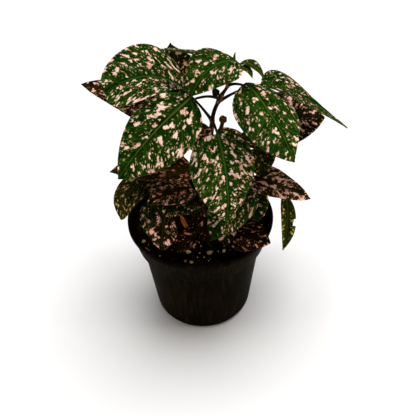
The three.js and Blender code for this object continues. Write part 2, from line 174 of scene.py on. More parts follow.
TIP_BUD = ((23.2, 0, 203.5), (23.6, 0, 208), (24.2, 0, 212.5))
ROLLED_LEAF_STALK = ((9.5, 1, 151), (13, 0, 154), (15.5, 0.5, 160), (17, 1, 165))
ROLLED_LEAF_STALK_RADIUS = 1.25
ROLLED_LEAF_CENTRE = (17, 1, 166.1)
ROLLED_LEAF_RADIUS = 2.3
ROLLED_LEAF_FOLD = 0.35
DRY_SCRAP = ((-13, -14, 98), (-11.5, -15, 93), (-9, -15.5, 87), (-8, -15, 78))
DRY_BUD_SCALE = (-5.4, 16.5, 175.4)

# Perlite grains: x, y, radius.
GRAINS = (
    (6, -29, 2),
    (-9, -28, 1.6),
    (-7, -37, 1.4),
    (-11, -36, 1.3),
    (16, -28, 1.3),
    (-41, -15, 1.5),
    (12, 38, 1.8),
    (-24, 34, 1.5),
)
GRAIN_LIFT = 0.5  # how far a grain's centre lies above the soil surface
GRAIN_BODY = 0.82  # a grain's mean radius, as a share of the radius given above

# Small perlite that shows at the front: x, y, radius.
FRONT_BITS = ((-1, -29, 0.6), (-5, -24, 0.5), (0, -23, 0.5), (12, -28, 0.5), (2, -33, 0.5), (5, -36, 0.4),
              (-39, -22, 0.9), (-37, -24, 0.7), (-36, -27, 0.8), (-29, -30, 0.6), (-33, -29, 0.5))

CRUMB_COUNT, CRUMB_SEED = 900, 4
BIT_COUNT, BIT_SEED = 70, 11


# ---- shader building ------------------------------------------------------------------
def tone(code):
    """The linear colour of a written one, such as 2c5a1c."""
    channels = [int(code[i:i + 2], 16) / 255 for i in (0, 2, 4)]
    return (*Color(channels).from_srgb_to_scene_linear(), 1)


class Finish:
    """A material built node by node: each method adds a node and gives back its output."""

    def __init__(self, name):
        self.material = bpy.data.materials.new(name)
        self.material.use_nodes = True
        self.tree = self.material.node_tree
        self.shader = self.tree.nodes["Principled BSDF"]

    def node(self, kind, inputs, output=0, **settings):
        made = self.tree.nodes.new("ShaderNode" + kind)
        for key, value in settings.items():
            setattr(made, key, value)
        for key, value in inputs.items():
            self.put(made.inputs[key], value)
        return made.outputs[output]

    def put(self, socket, value):
        if isinstance(value, bpy.types.NodeSocket):
            self.tree.links.new(value, socket)
        else:
            socket.default_value = value

    def surface(self, **values):
        for key, value in values.items():
            self.put(self.shader.inputs[key.replace("_", " ")], value)

    def layer(self, name):
        return self.node("UVMap", {}, uv_map=name)

    def place(self):
        return self.node("TexCoord", {}, output="Object")

    def part(self, where, axis):
        return self.node("SeparateXYZ", {0: where}, output=axis)

    def maths(self, operation, *values):
        return self.node("Math", dict(enumerate(values)), operation=operation)

    def ease(self, value, low, high, start=0.0, stop=1.0):
        """Eases from start to stop as the value goes from low to high."""
        inputs = {"Value": value, "From Min": low, "From Max": high, "To Min": start, "To Max": stop}
        return self.node("MapRange", inputs, interpolation_type="SMOOTHSTEP")

    def mix(self, factor, first, second):
        inputs = {"Factor": factor, "A": first, "B": second}
        made = self.tree.nodes.new("ShaderNodeMix")
        made.data_type = "RGBA"
        for key, value in inputs.items():
            socket = next(s for s in made.inputs if s.name == key and s.enabled)
            self.put(socket, value)
        return next(s for s in made.outputs if s.enabled)

    def stretch(self, where, scale):
        return self.node("VectorMath", {0: where, 1: scale}, operation="MULTIPLY")

    def noise(self, where, scale, detail=2.0, roughness=0.5, output="Fac"):
        inputs = {"Vector": where, "Scale": scale, "Detail": detail, "Roughness": roughness}
        return self.node("TexNoise", inputs, output=output)

    def warp(self, where, scale, amount):
        """Shifts a place about by noise, by up to half the amount."""
        wander = self.noise(where, scale, output="Color")
        centred = self.node("VectorMath", {0: wander, 1: (0.5, 0.5, 0.5)}, operation="SUBTRACT")
        shift = self.node("VectorMath", {0: centred, "Scale": amount}, operation="SCALE")
        return self.node("VectorMath", {0: where, 1: shift}, operation="ADD")

    def cells(self, where, scale, output="Distance", feature="F1"):
        inputs = {"Vector": where, "Scale": scale}
        return self.node("TexVoronoi", inputs, output=output, feature=feature)

    def bump(self, height, distance, strength=1.0):
        inputs = {"Height": height, "Distance": distance, "Strength": strength}
        return self.node("Bump", inputs, output="Normal")


def islands(finish, where, cell, share, largest):
    """How deep a place lies inside the nearest spot, in millimetres: some cells hold one, of its own size."""
    distance = finish.maths("MULTIPLY", finish.cells(where, 1 / cell), cell)
    lot = finish.cells(where, 1 / cell, output="Color")
    size = finish.ease(finish.part(lot, "Y"), 0, 1, 0.35 * largest, largest)
    held = finish.maths("LESS_THAN", finish.part(lot, "X"), share)
    return finish.maths("SUBTRACT", finish.maths("MULTIPLY", size, held), distance)


# How the spots are laid out and what they fade to. Lengths are in millimetres and scales per millimetre.
SPOT_UPRIGHT = 0.38  # how much less the spots slant than the side veins
TEARS = ((0.3, 2.2), (0.8, 2.4), (2.0, 1.0))  # noise that tears their outlines: scale, reach
SPLASH_SCALE = 0.24
COARSE_SPLASH_SCALE = 0.19
SPECK_SIZES = ((2.8, 0.8, 1.3), (1.35, 0.65, 0.55))  # cell, share of the cells with a speck, largest radius
SPOT_MARGIN = "8a6c34"  # the tan that the spots' margins and the smallest specks fade to
DRY_TIP = "b8621c"
UNDERSIDE_BLOOM = "5c6434"

# What a leaf looks like. Grounds and spots run from dark to light; splash is how much of the blade the large
# splashes take, and specks how much the small ones take.
LOOKS = {
    "sunlit": dict(ground=("061a01", "173606"), vein="274f10", rib="46601f", spot=("cf9888", "f6d2c2"),
                   splash=0.45, specks=0.86),
    "splashed": dict(ground=("061a01", "163406"), vein="244b10", rib="565a26", spot=("d4a08c", "f6d4c2"),
                     splash=0.46, specks=0.76),
    "front": dict(ground=("081d01", "1b3a07"), vein="29530f", rib="3f6620", spot=("d6a292", "f8d4c6"),
                  splash=0.465, specks=1.0),
    "speckled": dict(ground=("0a1f02", "1c3c07"), vein="244a0d", rib="375817", spot=("c69484", "efcabc"),
                     splash=0.44, specks=0.86),
    "fresh": dict(ground=("081c01", "1c3c07"), vein="274f10", rib="46601f", spot=("cf9888", "f6d2c2"),
                  splash=0.43, specks=0.74),
    "outer": dict(ground=("051c01", "143404"), vein="1f4408", rib="2f4c12", spot=("c69484", "efcabc"),
                  splash=0.36, specks=0.72),
    "mottled": dict(ground=("120f03", "2a220a"), vein="2e280e", rib="352e14", spot=("c08470", "f0b6a6"),
                    splash=0.58, specks=1.0),
    "bud": dict(ground=("0e2203", "26360a"), vein="3a4714", rib="56602a", spot=("a88a64", "d8b698"),
                splash=0.1, specks=0.7),
    "low_green": dict(ground=("081a02", "183606"), vein="1e400b", rib="274a12", spot=("b09078", "dcbaa2"),
                      splash=0.45, specks=0.98),
    "dim_green": dict(ground=("081202", "182806"), vein="1c2c0a", rib="24330f", spot=("b48462", "deb496"),
                      splash=0.38, specks=0.95),
    "olive": dict(ground=("0a1001", "1e2204"), vein="2a300b", rib="33370f", spot=("8c6a40", "b49a6c"),
                  splash=0.2, specks=0.82),
    "brown": dict(ground=("110a03", "2e1c0a"), vein="33240d", rib="3a2c14", spot=("bc8070", "f2bcae"),
                  splash=0.46, specks=1.0),
    "streaked": dict(ground=("1e1806", "3c2c12"), vein="352a10", rib="3a2e12", spot=("b4685a", "e49a8a"),
                     splash=0.4, specks=0.8),
    "rose": dict(ground=("080602", "1c1006"), vein="281a0a", rib="2b1c0b", spot=("a4584c", "d4867c"),
                 splash=0.1, specks=0.8),
    # A lighter copy of the pink look for a leaf that lies in shade: its ground and spots are lightened as painted
    # light.
    "pink_with_painted_light": dict(ground=("121805", "342a0e"), vein="33300e", rib="3a3414", spot=("e07c76", "fab4ac"),
                  splash=0.52, specks=1.0),
    "pink": dict(ground=("0a0d04", "1e1c09"), vein="29280a", rib="302d10", spot=("cc827c", "f6bcb2"),
                 splash=0.48, specks=0.92),
    "ageing": dict(ground=("131e03", "2e360a"), vein="3c4410", rib="4c4c16", spot=("8f8430", "c8be5c"),
                   splash=0.34, specks=0.9),
    "pale": dict(ground=("0a1001", "1a2006"), vein="1c240a", rib="262e10", spot=("b88078", "e4b0a6"),
                 splash=0.42, specks=0.85),
}


def blade_finish(look, underside):
    """A spotted leaf surface: lamina holds millimetres along and across, veins holds the vein count."""
    values = LOOKS[look]
    finish = Finish(f"{look} leaf underside" if underside else f"{look} leaf")
    lamina = finish.layer("lamina")
    veins = finish.layer("veins")
    edge = finish.layer("edge")
    across = finish.maths("ABSOLUTE", finish.part(veins, "Y"))
    along = finish.part(edge, "X")
    inset = finish.part(edge, "Y")

    # Side veins lie where the count is whole, and the midrib narrows towards the tip.
    turn = finish.maths("ABSOLUTE", finish.maths("SUBTRACT", finish.maths("FRACT", finish.part(veins, "X")), 0.5))
    side_vein = finish.ease(turn, 0.38, 0.5)
    rib_width = finish.ease(along, 0, 1, 0.9, 0.2)
    rib = finish.ease(finish.maths("DIVIDE", across, rib_width), 1.0, 0.35)

    # Spots: large torn splashes and two sizes of speck, drawn out a little along the side veins. They keep off
    # the midrib and thin out over the side veins.
    ahead = finish.maths("ADD", finish.part(lamina, "X"), finish.maths("MULTIPLY", across, SPOT_UPRIGHT))
    drawn = finish.node("CombineXYZ", {"X": ahead, "Y": finish.part(lamina, "Y")})
    torn = drawn
    for scale, reach in TEARS:
        torn = finish.warp(torn, scale, reach)
    clump = finish.noise(torn, COARSE_SPLASH_SCALE if look == "splashed" else SPLASH_SCALE, detail=1.5)
    depth = finish.maths("MULTIPLY", finish.maths("SUBTRACT", clump, 0.83 - 0.5 * values["splash"]), 9.0)
    for cell, share, largest in SPECK_SIZES:
        speck = islands(finish, torn, cell, values["specks"] * share, largest)
        depth = finish.maths("MAXIMUM", depth, speck)
    clear = finish.maths("ADD", finish.maths("MULTIPLY", side_vein, 0.25), finish.ease(across, 2.0, 0.3, 0.0, 1.4))
    depth = finish.maths("SUBTRACT", depth, clear)
    spot = finish.ease(depth, -0.06, 0.08)
    halo = finish.ease(depth, -0.5, 0.0)

    ground_dark, ground_light = (tone(code) for code in values["ground"])
    spot_dark, spot_light = (tone(code) for code in values["spot"])
    patch = finish.noise(lamina, 0.11, detail=3.0)
    ground = finish.mix(finish.ease(patch, 0.3, 0.72), ground_dark, ground_light)
    ground = finish.mix(finish.maths("MULTIPLY", halo, 0.4), ground, tone(values["vein"]))
    ground = finish.mix(finish.maths("MULTIPLY", side_vein, 0.55), ground, tone(values["vein"]))
    ground = finish.mix(finish.ease(inset, 0.9, 0.1, 0.0, 0.7), ground, tone(values["vein"]))
    ground = finish.mix(finish.maths("MULTIPLY", rib, 0.65), ground, tone(values["rib"]))
    tint = finish.mix(finish.ease(finish.noise(lamina, 0.2), 0.3, 0.55), spot_dark, spot_light)
    tint = finish.mix(finish.ease(depth, 0.0, 0.4), tone(SPOT_MARGIN), tint)
    colour = finish.mix(spot, ground, tint)
    if look == "ageing":  # an old leaf dries from its very tip
        colour = finish.mix(finish.ease(along, 0.93, 0.98), colour, tone(DRY_TIP))
    if underside and look != "pale":  # a pale leaf has no bloom
        colour = finish.mix(0.35, colour, tone(UNDERSIDE_BLOOM))

    # Fine relief: the veins' network between the side veins, and the skin's own grain.
    network = finish.cells(finish.warp(lamina, 0.8, 0.8), 0.75, feature="DISTANCE_TO_EDGE")
    skin = finish.noise(lamina, 3.2, detail=3.0)
    height = finish.maths("ADD", finish.ease(network, 0.0, 0.12), finish.maths("MULTIPLY", skin, 0.7))
    height = finish.maths("ADD", height, finish.maths("MULTIPLY", spot, 0.3))
    rough = finish.ease(skin, 0.3, 0.7, 0.45, 0.65)
    finish.surface(Base_Color=colour, Roughness=rough, Normal=finish.bump(height, 0.12 * MM, 0.6))
    finish.surface(Specular_IOR_Level=0.001)
    return finish.material


def stalk_finish(look):
    """A leaf stalk: bark brown where it joins the stem, and the midrib's colour where it enters the blade."""
    finish = Finish(f"{look} leaf stalk")
    progress = finish.part(finish.layer("edge"), "X")
    grain = finish.noise(finish.stretch(finish.place(), (900, 900, 300)), 1.0, detail=3.0)
    bark = finish.mix(grain, tone("080501"), tone("1e1407"))
    rib = finish.mix(grain, tone(LOOKS[look]["ground"][1]), tone(LOOKS[look]["rib"]))
    colour = finish.mix(finish.ease(progress, 0.2, 0.5), bark, rib)
    finish.surface(Base_Color=colour, Roughness=0.5, Normal=finish.bump(grain, 0.1 * MM))
    finish.surface(Specular_IOR_Level=0.03)
    return finish.material


def bark_finish():
    """Dark smooth bark with fine ridges along it and paler rings at the joints."""
    finish = Finish("stem bark")
    place = finish.place()
    ridges = finish.noise(finish.stretch(place, (1500, 1500, 120)), 1.0, detail=3.0)
    blotch = finish.noise(place, 160.0, detail=3.0)
    ringed = finish.part(finish.layer("edge"), "Y")
    colour = finish.mix(finish.ease(blotch, 0.3, 0.7), tone("080501"), tone("1c1206"))
    colour = finish.mix(finish.maths("MULTIPLY", ringed, finish.ease(ridges, 0.35, 0.6)), colour, tone("7c5a3a"))
    finish.surface(Base_Color=colour, Roughness=0.5, Normal=finish.bump(ridges, 0.25 * MM, 0.8))
    finish.surface(Specular_IOR_Level=0.03)
    return finish.material


def pot_finish():
    """Near-black moulded plastic, handled and a little dusty, with faint flow lines up its wall."""
    finish = Finish("pot plastic")
    place = finish.place()
    flow = finish.noise(finish.stretch(place, (420, 420, 14)), 1.0, detail=4.0)
    cloud = finish.noise(place, 38.0, detail=4.0)
    dust = finish.ease(finish.noise(place, 900.0, detail=2.0), 0.7, 0.78)
    colour = finish.mix(finish.ease(cloud, 0.35, 0.7), tone("070501"), tone("0e0b04"))
    colour = finish.mix(finish.maths("MULTIPLY", finish.ease(flow, 0.45, 0.7), 0.5), colour, tone("20180a"))
    colour = finish.mix(finish.maths("MULTIPLY", dust, 0.35), colour, tone("4a4238"))
    rough = finish.ease(cloud, 0.3, 0.7, 0.38, 0.55)
    skin = finish.noise(place, 2600.0, detail=1.0)
    height = finish.maths("ADD", flow, finish.maths("MULTIPLY", skin, 0.3))
    finish.surface(Base_Color=colour, Roughness=rough, Normal=finish.bump(height, 0.15 * MM, 0.7))
    finish.surface(Specular_IOR_Level=0.004)
    return finish.material


def soil_finish():
    """Damp, nearly black potting soil with paler fibres and grains in it."""
    finish = Finish("potting soil")
    place = finish.place()
    clod = finish.noise(place, 260.0, detail=5.0, roughness=0.7)
    fleck = finish.cells(place, 700.0, output="Color")
    colour = finish.mix(finish.ease(clod, 0.35, 0.7), tone("060401"), tone("1e1308"))
    speckled = finish.maths("GREATER_THAN", finish.part(fleck, "X"), 0.965)
    colour = finish.mix(finish.maths("MULTIPLY", speckled, 0.5), colour, tone("5a4630"))
    grit = finish.noise(place, 900.0, detail=4.0, roughness=0.7)
    finish.surface(Base_Color=colour, Roughness=0.9, Normal=finish.bump(grit, 0.6 * MM))
    finish.surface(Specular_IOR_Level=0.02)
    return finish.material


def crumb_finish():
    """Crumbs of bark and peat, each a little different from the next."""
    finish = Finish("soil crumbs")
    place = finish.place()
    kind = finish.noise(place, 90.0, detail=1.0)
    fibre = finish.noise(place, 1500.0, detail=4.0)
    dark = finish.mix(fibre, tone("050301"), tone("221608"))
    colour = finish.mix(finish.ease(kind, 0.6, 0.72), dark, tone("3c2513"))
    finish.surface(Base_Color=colour, Roughness=0.9, Normal=finish.bump(fibre, 0.4 * MM))
    finish.surface(Specular_IOR_Level=0.02)
    return finish.material


def perlite_finish():
    """Cream volcanic grains, pitted, and stained brown where soil clings to them."""
    finish = Finish("perlite")
    place = finish.place()
    pits = finish.cells(place, 1500.0)
    stain = finish.noise(place, 420.0, detail=4.0)
    colour = finish.mix(finish.ease(pits, 0.1, 0.5), tone("c08c3c"), tone("ffdf98"))
    colour = finish.mix(finish.ease(stain, 0.5, 0.7, 0.0, 0.8), colour, tone("5a3a1c"))
    finish.surface(Base_Color=colour, Roughness=0.85, Normal=finish.bump(pits, 0.3 * MM))
    finish.surface(Specular_IOR_Level=0.25)
    return finish.material


def dry_finish(name, dark, light):
    """Withered leaf, finely wrinkled."""
    finish = Finish(name)
    place = finish.place()
    grain = finish.noise(finish.stretch(place, (600, 600, 200)), 1.0, detail=4.0)
    colour = finish.mix(finish.ease(grain, 0.3, 0.7), tone(dark), tone(light))
    finish.surface(Base_Color=colour, Roughness=0.7, Normal=finish.bump(grain, 0.3 * MM))
    finish.surface(Specular_IOR_Level=0.02)
    return finish.material


def floor_finish():
    finish = Finish("studio floor")
    finish.surface(Base_Color=(FLOOR_SHADE, FLOOR_SHADE, FLOOR_SHADE, 1), Roughness=0.9)
    finish.surface(Specular_IOR_Level=0.0)
    return finish.material


# ---- mesh building --------------------------------------------------------------------
def finished(name, bm, materials, slot, *nodes):
    """Makes a piece of a mesh worked out in millimetres, and hides the nodes it stands for."""
    bmesh.ops.scale(bm, vec=(MM, MM, MM), verts=bm.verts)
    mesh = bpy.data.meshes.new(name)
    bm.to_mesh(mesh)
    bm.free()
    mesh.shade_smooth()
    for material in materials:
        mesh.materials.append(material)
    piece = bpy.data.objects.new(name, mesh)
    bpy.context.scene.collection.objects.link(piece)
    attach(piece, "root")
    if nodes:
        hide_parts(*nodes)
    return piece


def spline(points, steps):
    """Points evenly spaced in parameter on a smooth curve through the given ones."""
    ends = [2 * points[0] - points[1], *points, 2 * points[-1] - points[-2]]
    curve = []
    for i in range(steps + 1):
        place = (len(points) - 1) * i / steps
        first = min(int(place), len(points) - 2)
        t = place - first
        a, b, c, d = ends[first:first + 4]
        curve.append(0.5 * (2 * b + (c - a) * t + (2 * a - 5 * b + 4 * c - d) * t ** 2
                            + (3 * b - a - 3 * c + d) * t ** 3))
    return curve


def add_tube(bm, points, radii, sides, material=0, marks=None):
    """A closed round tube through the points, with its progress and its marks in the edge layer."""
    edge = bm.loops.layers.uv["edge"]
    marks = marks or [0.0] * len(points)
    twist = Vector((1, 0, 0))
    last = len(points) - 1
    rings = []
    for i, (point, radius) in enumerate(zip(points, radii)):
        ahead = (points[min(i + 1, last)] - points[max(i - 1, 0)]).normalized()
        twist = (twist - ahead * twist.dot(ahead)).normalized()
        turned = Matrix((twist, ahead.cross(twist), ahead)).transposed().to_4x4()
        made = bmesh.ops.create_circle(bm, segments=sides, radius=radius, cap_ends=i in (0, last),
                                       matrix=Matrix.Translation(point) @ turned)
        rings.append(made["verts"])
    faces = {face for ring in (rings[0], rings[-1]) for vert in ring for face in vert.link_faces}
    for ring, following in zip(rings, rings[1:]):
        loops = list({e for vert in ring + following for e in vert.link_edges
                      if set(e.verts) <= set(ring) or set(e.verts) <= set(following)})
        faces.update(bmesh.ops.bridge_loops(bm, edges=loops)["faces"])
    bmesh.ops.recalc_face_normals(bm, faces=list(faces))
    number = {vert: i for i, ring in enumerate(rings) for vert in ring}
    for face in faces:
        face.material_index = material
        for loop in face.loops:
            i = number.get(loop.vert, 0)
            loop[edge].uv = (i / last, marks[i])


def add_lump(bm, centre, radius, roughness, seed, squash, detail):
    """An uneven pebble."""
    lump = bmesh.ops.create_icosphere(bm, subdivisions=detail, radius=1)["verts"]
    turn = Matrix.Rotation(seed * 2.4, 3, "Z")
    for vert in lump:
        spread = 1 + roughness * noise.noise(vert.co * 1.3 + Vector((seed * 7.1, seed * 3.3, seed)))
        shaped = Vector(vert.co[i] * squash[i] * radius * spread for i in range(3))
        vert.co = turn @ shaped + centre


def soil_height(x, y):
    reach = min(math.hypot(x, y) / SOIL_EDGE_RADIUS, 1)
    return SOIL_EDGE_HEIGHT + SOIL_MOUND * math.cos(math.pi / 2 * reach)


# ---- leaves ---------------------------------------------------------------------------
class Blade:
    """A leaf's surface: along runs from 0 at its base to 1 at its tip, across from -1 to 1."""

    def __init__(self, base, tip, width, bow, lean, roll, fold, curl, outline, seed):
        self.base, self.tip = Vector(base), Vector(tip)
        self.width, self.outline, self.seed = width, outline, seed
        self.fold, self.curl = math.radians(fold), math.radians(curl)
        chord = (self.tip - self.base).normalized()
        level = Vector((chord.y, -chord.x, 0)).normalized()
        upright = level.cross(chord)
        turn = math.radians(roll)
        self.side = level * math.cos(turn) - upright * math.sin(turn)
        self.up = upright * math.cos(turn) + level * math.sin(turn)
        self.crest = self.base.lerp(self.tip, 0.5 + lean) + self.up * 2 * bow
        self.length = ((self.crest - self.base).length + (self.tip - self.crest).length
                       + (self.tip - self.base).length) / 2

    def midrib(self, along):
        return self.base.lerp(self.crest, along).lerp(self.crest.lerp(self.tip, along), along)

    def normal(self, along):
        ahead = (self.crest - self.base).lerp(self.tip - self.crest, along)
        return self.side.cross(ahead.normalized())

    def half_width(self, along, across):
        factor, base_fullness, tip_fullness = self.outline[0 if across > 0 else 1]
        peak = base_fullness / (base_fullness + tip_fullness)
        largest = peak ** base_fullness * (1 - peak) ** tip_fullness
        full = along ** base_fullness * (1 - along) ** tip_fullness
        return max(self.width / 2 * factor * full / largest, EDGE_HALF_WIDTH)

    def lamina(self, along, across):
        """Millimetres ahead along the side veins' slant, and millimetres from the midrib."""
        off = across * self.half_width(along, across)
        return along * self.length - VEIN_SLANT * abs(off) - VEIN_CURVE * off * off / self.width, off

    def vein_count(self, along, across):
        """How many side veins lie behind this place, counted from ten at the base so that it stays positive."""
        ahead = self.lamina(along, across)[0]
        stagger = VEIN_STAGGER if across > 0 else 0.0
        wander = VEIN_WANDER * noise.noise(Vector((ahead * 0.07, stagger * 9, self.seed)))
        return VEIN_PAIRS * ahead / self.length + stagger + wander + 10

    def point(self, along, across):
        """Where the place lies: the lamina swells between the veins, less near the midrib and the margin."""
        half, reach = self.half_width(along, across), abs(across)
        turn = self.fold + self.curl * reach / 2
        swell = abs(math.sin(math.pi * self.vein_count(along, across))) ** 0.6
        calm = min(half / 6, 1) * (1 - reach ** 4) * min(reach * 5, 1)
        wave = MARGIN_WAVE * reach ** 3 * math.sin(9 * along + 2.1 * self.seed + (across > 0) * 1.7)
        rise = half * reach * math.sin(turn) + QUILTING * swell * calm + wave * min(half / 8, 1)
        spread = half * across * math.cos(turn)
        return self.midrib(along) + self.side * spread + self.normal(along) * rise


def add_blade(bm, blade, bites):
    """The thin blade, with its top in the first material and its underside in the second."""
    steps, ribs = LARGE_LEAF_STEPS if blade.width > LARGE_LEAF_WIDTH else SMALL_LEAF_STEPS
    lamina, veins, edge = (bm.loops.layers.uv[name] for name in ("lamina", "veins", "edge"))
    bmesh.ops.create_grid(bm, x_segments=steps, y_segments=ribs, size=1)
    flat = {vert: ((1 - math.cos(math.pi * (vert.co.x + 1) / 2)) / 2, -vert.co.y) for vert in bm.verts}
    offset = Vector((blade.seed * 137.0, blade.seed * 61.0))  # each leaf has its own stretch of the pattern
    for face in bm.faces:
        middle = sum(flat[vert][1] for vert in face.verts)
        for loop in face.loops:
            along, across = flat[loop.vert]
            across = across or math.copysign(1e-4, middle)
            ahead, off = blade.lamina(along, across)
            loop[lamina].uv = offset + Vector((ahead, off))
            loop[veins].uv = (blade.vein_count(along, across), off)
            loop[edge].uv = (along, (1 - abs(across)) * blade.half_width(along, across))
    torn = []
    for face in bm.faces:
        along, across = (sum(flat[vert][i] for vert in face.verts) / 4 for i in (0, 1))
        for at, aside, radius in bites:
            gap = Vector(((along - at) * blade.length, (across - aside) * blade.half_width(along, across)))
            if gap.length < radius * (1 + 0.5 * noise.noise(Vector((gap.x, gap.y, 0)))):
                torn.append(face)
                break
    bmesh.ops.delete(bm, geom=torn, context="FACES")
    for vert in bm.verts:
        along, across = flat[vert]
        vert.co = blade.point(along, across) + blade.normal(along) * BLADE_THICKNESS / 2
    bm.normal_update()
    shell = bmesh.ops.solidify(bm, geom=bm.faces[:], thickness=BLADE_THICKNESS)["geom"]
    for item in shell:
        if isinstance(item, bmesh.types.BMFace):
            item.material_index = 1


def add_stalk(bm, blade, joint):
    """The stalk from the stem, which runs on as the raised midrib under the blade."""
    entry = blade.midrib(MIDRIB_START)
    bend = blade.base.lerp(joint, STALK_BEND) + Vector((0, 0, STALK_RISE * (joint - entry).length))
    points, radii = [], []
    for i in range(STALK_STEPS):
        t = i / STALK_STEPS
        points.append(joint.lerp(bend, t).lerp(bend.lerp(entry, t), t))
        radii.append(STALK_RADIUS - STALK_TAPER * i + STALK_FLARE * math.exp(-i))
    for i in range(MIDRIB_STEPS + 1):
        t = i / MIDRIB_STEPS
        along = MIDRIB_START + (MIDRIB_END - MIDRIB_START) * t
        points.append(blade.midrib(along) - blade.normal(along) * MIDRIB_SINK * (i > 0))
        radii.append(MIDRIB_RADIUS + (MIDRIB_TIP_RADIUS - MIDRIB_RADIUS) * t)
    add_tube(bm, points, radii, 10, material=2)


def make_leaf(name, number, materials):
    joint, base, tip, width, bow, lean, roll, fold, curl, look = LEAVES[name]
    outline = OUTLINES.get(name, EVEN_OUTLINE)
    blade = Blade(base, tip, width, bow, lean, roll, fold, curl, outline, number + 1)
    bm = bmesh.new()
    for layer in ("lamina", "veins", "edge"):
        bm.loops.layers.uv.new(layer)
    add_blade(bm, blade, BITES.get(name, ()))
    add_stalk(bm, blade, Vector(joint))
    finished("fine_" + name, bm, materials[look], SLOTS[name], name)


# ---- stems, buds and the rolled leaf ----------------------------------------------------
def make_stem(name, bark):
    """A stem that swells and pales a little where each leaf joins it."""
    low, high, points = STEMS[name]
    curve = spline([Vector(point) for point in points], 16 * (len(points) - 1))
    joints = [Vector(leaf[0]) for leaf in LEAVES.values()]
    radii, marks = [], []
    for i, point in enumerate(curve):
        swell = max(math.exp(-((point - joint).length / JOINT_LENGTH) ** 2) for joint in joints)
        radii.append(low + (high - low) * i / (len(curve) - 1) + JOINT_SWELL * swell)
        marks.append(swell ** 2)
    bm = bmesh.new()
    bm.loops.layers.uv.new("edge")
    add_tube(bm, curve, radii, 18, marks=marks)
    finished("fine_" + name, bm, [bark], "stem", name)


def make_tip_bud(materials):
    """The growing tip: a slim pointed shoot."""
    steps = 16
    curve = spline([Vector(point) for point in TIP_BUD], steps)
    radii = [0.25 + 0.75 * math.sin(math.pi * (0.25 + 0.75 * i / steps)) for i in range(steps + 1)]
    bm = bmesh.new()
    bm.loops.layers.uv.new("edge")
    add_tube(bm, curve, radii, 14)
    finished("fine_tip_bud", bm, [materials["sunlit"][2]], "sunlit_leaf", "tip_bud")


def make_rolled_leaf(skin):
    """A young leaf still rolled in a ball on its stalk, with the rolls' edges showing."""
    bm = bmesh.new()
    bm.loops.layers.uv.new("edge")
    stalk = spline([Vector(point) for point in ROLLED_LEAF_STALK], 20)
    add_tube(bm, stalk, [ROLLED_LEAF_STALK_RADIUS] * len(stalk), 12)
    ball = bmesh.ops.create_uvsphere(bm, u_segments=48, v_segments=32, radius=1)["verts"]
    for vert in ball:
        around = math.atan2(vert.co.y, vert.co.x)
        fold = abs(math.sin(1.5 * around + 2.5 * vert.co.z))
        vert.co = vert.co * (ROLLED_LEAF_RADIUS + ROLLED_LEAF_FOLD * fold) + Vector(ROLLED_LEAF_CENTRE)
    finished("fine_rolled_leaf", bm, [skin], "shaded_leaf", "rolled_leaf")


# ---- pot, soil and what lies on it ------------------------------------------------------
def rounded(corners, arc=5):
    """An outline with each corner (radius, height, rounding) turned into an arc."""
    outline = []
    for i, (x, z, size) in enumerate(corners):
        here = Vector((x, z))
        if size == 0:
            outline.append(here)
            continue
        before = (Vector(corners[i - 1][:2]) - here).normalized() * size
        after = (Vector(corners[i + 1][:2]) - here).normalized() * size
        for step in range(arc + 1):
            t = step / arc
            outline.append((here + before).lerp(here, t).lerp(here.lerp(here + after, t), t))
    return outline


def spun(bm, outline, steps):
    """Turns an outline from axis to axis into a closed body."""
    verts = [bmesh.ops.create_vert(bm, co=(x, 0, z))["vert"][0] for x, z in outline]
    edges = [bm.edges.new(pair) for pair in zip(verts, verts[1:])]
    bmesh.ops.spin(bm, geom=verts + edges, cent=(0, 0, 0), axis=(0, 0, 1), angle=2 * math.pi, steps=steps,
                   use_merge=True)
    bmesh.ops.remove_doubles(bm, verts=bm.verts, dist=1e-4)
    bmesh.ops.dissolve_degenerate(bm, dist=1e-5, edges=bm.edges)
    bmesh.ops.recalc_face_normals(bm, faces=bm.faces)


def make_pot(plastic):
    """A tapered nursery pot with a rolled lip, a stepped collar, a small foot and five drain holes."""
    bm = bmesh.new()
    spun(bm, rounded(POT_OUTLINE), POT_SIDES)
    pot = finished("fine_pot", bm, [plastic], "pot", "pot")
    cutters = bmesh.new()
    for i in range(DRAIN_HOLES):
        turn = 2 * math.pi * i / DRAIN_HOLES
        place = Vector((DRAIN_CIRCLE * math.cos(turn), DRAIN_CIRCLE * math.sin(turn), 1))
        bmesh.ops.create_cone(cutters, cap_ends=True, segments=40, radius1=DRAIN_RADIUS * MM,
                              radius2=DRAIN_RADIUS * MM, depth=DRAIN_DEPTH * MM,
                              matrix=Matrix.Translation(place * MM))
    mesh = bpy.data.meshes.new("drain holes")
    cutters.to_mesh(mesh)
    cutters.free()
    cutter = bpy.data.objects.new("drain holes", mesh)
    bpy.context.scene.collection.objects.link(cutter)
    cut = pot.modifiers.new("drain holes", "BOOLEAN")
    cut.object = cutter
    cut.solver = "EXACT"
    drilled = bpy.data.meshes.new_from_object(pot.evaluated_get(bpy.context.evaluated_depsgraph_get()))
    pot.modifiers.clear()
    pot.data = drilled
    bpy.data.objects.remove(cutter)


def make_soil(soil):
    """The soil, crumbly on top, which fills the pot to its collar."""
    reaches = [SOIL_EDGE_RADIUS * (1 - i / SOIL_RINGS) for i in range(SOIL_RINGS + 1)]
    surface = [(reach, soil_height(reach, 0)) for reach in reaches]
    bm = bmesh.new()
    spun(bm, [*SOIL_BODY, *surface], SOIL_SIDES)
    for vert in bm.verts:
        reach = math.hypot(vert.co.x, vert.co.y)
        if vert.co.z > SOIL_ROUGH_FROM and reach < SOIL_EDGE_RADIUS - 0.2:
            clods = noise.fractal(vert.co * 0.28, 0.8, 2.2, 4)
            grit = noise.noise(vert.co * 1.4)
            vert.co.z += (0.9 * clods + 0.45 * grit) * min((SOIL_EDGE_RADIUS - reach) / 3, 1)
    finished("fine_soil", bm, [soil], "soil", "soil")


